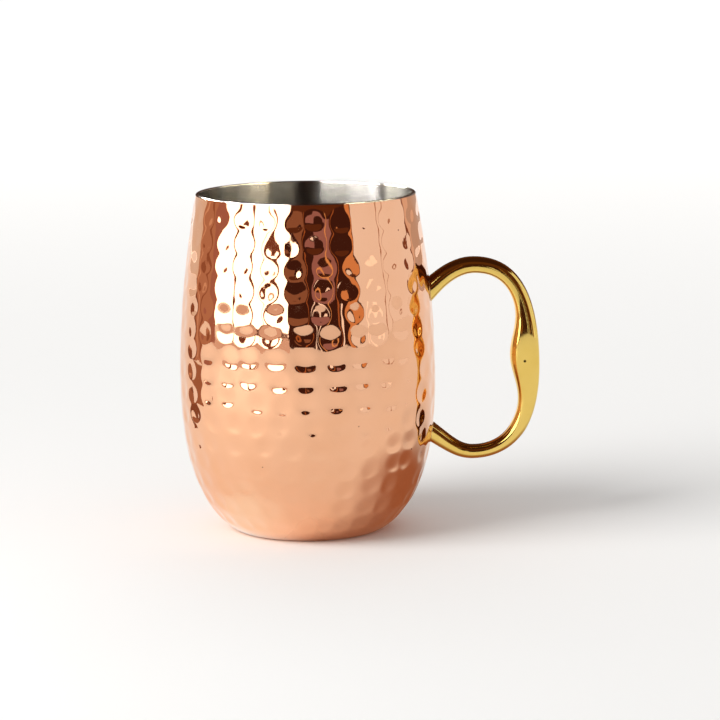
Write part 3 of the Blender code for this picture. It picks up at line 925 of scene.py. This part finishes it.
def stage_object(name, bm, material):
    """Makes a bmesh a thing of the stage, apart from the mug."""
    thing = add_object(name, finish_mesh(name, bm, material))
    return thing


def disc(radius, segments, middle=(0.0, 0.0, 0.0)):
    """A round level sheet."""
    bm = bmesh.new()
    place = Matrix.Translation(middle)
    bmesh.ops.create_circle(bm, cap_ends=True, radius=radius, segments=segments, matrix=place)
    return bm


def only_mirrored(thing):
    """Lets only the metals see a thing of the stage, so that it neither lights nor shades the floor."""
    thing.visible_camera = False
    thing.visible_diffuse = False
    thing.visible_shadow = False


def between(share, start, end):
    return (1 - share) * start + share * end


def add_board(board, eye_height):
    """A curved board about the mug, from a grid that is one wide and one high."""
    bm = bmesh.new()
    columns = max(1, round((board.right - board.left) / BOARD_STEP))
    bmesh.ops.create_grid(bm, x_segments=columns, y_segments=1, size=0.5)
    low_ends = np.broadcast_to(board.low, 2)
    high_ends = np.broadcast_to(board.high, 2)
    for vert in bm.verts:
        across, up = vert.co.x + 0.5, vert.co.y + 0.5
        angle = math.radians(between(across, board.left, board.right))
        rise = math.radians(between(up, between(across, *low_ends), between(across, *high_ends)))
        height = eye_height + board.near * math.tan(rise)
        vert.co = (board.near * math.sin(angle), -board.near * math.cos(angle), height)
    thing = stage_object(board.name, bm, glow(board.name, board.colour, board.strength, bool(board.metal)))
    only_mirrored(thing)
    if board.metal:
        thing.light_linking.receiver_collection = lit_metal(board.metal)


def add_ceiling(eye_height):
    """The lid of the dark room, which is the first board."""
    room = BOARDS[0]
    height = eye_height + room.near * math.tan(math.radians(room.high))
    lid = disc(room.near, STAGE_SEGMENTS, (0.0, 0.0, height))
    only_mirrored(stage_object("ceiling", lid, glow("ceiling", CEILING)))


def add_lamp(name, kind, energy, place, **settings):
    """A lamp that the metals don't mirror. One with a size shines straight down."""
    data = bpy.data.lights.new(name, kind)
    data.energy = energy
    for setting, value in settings.items():
        setattr(data, setting, value)
    lamp = add_object(name, data)
    lamp.matrix_world = place
    lamp.visible_glossy = False


def add_lamps():
    """The key, large and soft, throws the mug's shadow from the upper left of the camera.

    The pool lamp brightens the floor at the left, out of the picture, for the copper to mirror. The back
    lamp, high behind the mug, keeps the far floor white.
    """
    level = math.cos(KEY_RISE)
    to_key = Vector((math.sin(KEY_TURN) * level, -math.cos(KEY_TURN) * level, math.sin(KEY_RISE)))
    key_place = to_key.to_track_quat("Z", "Y").to_matrix().to_4x4()
    add_lamp("key", "SUN", KEY_ENERGY, key_place, angle=KEY_WIDTH)
    add_lamp("pool", "AREA", POOL_ENERGY, Matrix.Translation(POOL_PLACE), shape="DISK", size=POOL_SIZE)
    add_lamp("back", "AREA", BACK_ENERGY, Matrix.Translation(BACK_PLACE), size=BACK_SIZE)


def pale_floor(colour_value):
    material, tree = new_material("floor, matt white paint")
    fill_inputs(tree, tree.nodes[SHADER], {"Base Color": (*colour_value, 1.0), "Roughness": 0.9})
    stage_object("floor", disc(FLOOR_RADIUS, STAGE_SEGMENTS), material)


def floor_card(card):
    """A faint card on the floor, for the shade or the light that the foot of the cup mirrors."""
    material, tree = new_material(card.name)
    tree.nodes.clear()
    x, y = card.place
    place = add_node(tree, "TexCoord", {}).outputs["Object"]
    centred = {"Location": (-x / card.radius, -y / card.radius, 0.0), "Scale": (1 / card.radius,) * 3}
    mapped = add_node(tree, "Mapping", {"Vector": place, **centred}).outputs["Vector"]
    inward = add_node(tree, "TexGradient", {"Vector": mapped}, gradient_type="SPHERICAL").outputs["Fac"]
    ramp = {"Value": inward, "From Max": card.fade, "To Max": card.share}
    share = add_node(tree, "MapRange", ramp, interpolation_type="SMOOTHSTEP").outputs[0]
    shine = {"Color": (*linear(card.colour), 1.0), "Strength": card.strength}
    light = add_node(tree, "Emission", shine).outputs[0]
    clear = add_node(tree, "BsdfTransparent", {}).outputs[0]
    mixed = add_node(tree, "MixShader", {0: share, 1: clear, 2: light}).outputs[0]
    add_node(tree, "OutputMaterial", {"Surface": mixed})
    sheet = disc(card.radius, CARD_SEGMENTS, (x, y, card.lift))
    only_mirrored(stage_object(card.name, sheet, material))


def soft_world():
    """Soft light from all round. The camera sees plain white behind the stage."""
    world = bpy.data.worlds.new("soft studio light")
    world.use_nodes = True
    tree = world.node_tree
    tree.nodes.clear()
    seen = add_node(tree, "LightPath", {}).outputs["Is Camera Ray"]
    strengths = {"Value": seen, "To Min": WORLD_LIGHT, "To Max": WORLD_SEEN}
    strength = add_node(tree, "MapRange", strengths).outputs["Result"]
    sky = {"Color": (1.0, 1.0, 1.0, 1.0), "Strength": strength}
    add_node(tree, "OutputWorld", {"Surface": add_node(tree, "Background", sky).outputs["Background"]})
    bpy.context.scene.world = world


def add_camera(stage):
    data = bpy.data.cameras.new("camera")
    data.sensor_width = SENSOR_WIDTH
    data.lens = stage.lens
    camera = add_object("camera", data)
    back = Vector((0.0, -math.cos(stage.elevation), math.sin(stage.elevation)))
    aim = Vector((stage.aim_side, 0.0, stage.aim_height))
    tilt = Matrix.Rotation(math.pi / 2 - stage.elevation, 4, "X")
    roll = Matrix.Rotation(-stage.roll, 4, "Z")
    camera.matrix_world = Matrix.Translation(aim + back * stage.distance) @ tilt @ roll
    bpy.context.scene.camera = camera


def studio(settings):
    """Floor, boards, lamps, cards, world and camera."""
    bpy.context.scene.view_settings.view_transform = "Standard"
    pale_floor(settings.finish.floor)
    for board in BOARDS:
        add_board(board, settings.stage.aim_height)
    add_ceiling(settings.stage.aim_height)
    add_lamps()
    for card in FLOOR_CARDS:
        floor_card(card)
    soft_world()
    add_camera(settings.stage)


# Operators and panel


class PieceOperator:
    """What the mug's operators share: each makes its piece from the scene's settings."""

    bl_options = {"REGISTER", "UNDO"}

    def execute(self, context):
        type(self).make(context.scene.copper_mug)
        return {"FINISHED"}


class MUG_OT_shell(PieceOperator, bpy.types.Operator):
    """Model the hammered copper shell"""

    bl_idname = "copper_mug.shell"
    bl_label = "Hammered shell"
    make = staticmethod(hammered_shell)


class MUG_OT_liner(PieceOperator, bpy.types.Operator):
    """Model the brushed steel liner with its lip"""

    bl_idname = "copper_mug.liner"
    bl_label = "Brushed liner"
    make = staticmethod(brushed_liner)


class MUG_OT_handle(PieceOperator, bpy.types.Operator):
    """Model the polished brass handle"""

    bl_idname = "copper_mug.handle"
    bl_label = "Polished handle"
    make = staticmethod(polished_handle)


class MUG_OT_fillets(PieceOperator, bpy.types.Operator):
    """Model the braze fillets round the handle's roots"""

    bl_idname = "copper_mug.fillets"
    bl_label = "Braze fillets"
    make = staticmethod(braze_fillets)


class MUG_OT_stage(PieceOperator, bpy.types.Operator):
    """Set up the floor, the lights and the camera"""

    bl_idname = "copper_mug.stage"
    bl_label = "Stage"
    make = staticmethod(studio)


OPERATORS = (MUG_OT_stage, MUG_OT_shell, MUG_OT_liner, MUG_OT_handle, MUG_OT_fillets)


class MUG_PT_panel(bpy.types.Panel):
    """Lists the mug's settings and the operators that make its pieces"""

    bl_idname = "MUG_PT_panel"
    bl_label = "Copper mug"
    bl_space_type = "VIEW_3D"
    bl_region_type = "UI"
    bl_category = "Copper mug"

    def draw(self, context):
        settings = context.scene.copper_mug
        for group in (settings.body, settings.hammer, settings.handle, settings.finish, settings.stage):
            box = self.layout.box()
            for name in group.__annotations__:
                box.prop(group, name)
        for operator in OPERATORS:
            self.layout.operator(operator.bl_idname)


CLASSES = (MugBody, HammerWork, HandleForm, MugFinish, MugStage, MugSettings, *OPERATORS, MUG_PT_panel)


def register():
    for cls in CLASSES:
        bpy.utils.register_class(cls)
    bpy.types.Scene.copper_mug = PointerProperty(type=MugSettings)


def unregister():
    del bpy.types.Scene.copper_mug
    for cls in reversed(CLASSES):
        bpy.utils.unregister_class(cls)


def main():
    register()
    bpy.ops.copper_mug.stage()
    bpy.ops.copper_mug.shell()
    bpy.ops.copper_mug.liner()
    bpy.ops.copper_mug.handle()
    bpy.ops.copper_mug.fillets()


if __name__ == "__main__":
    main()
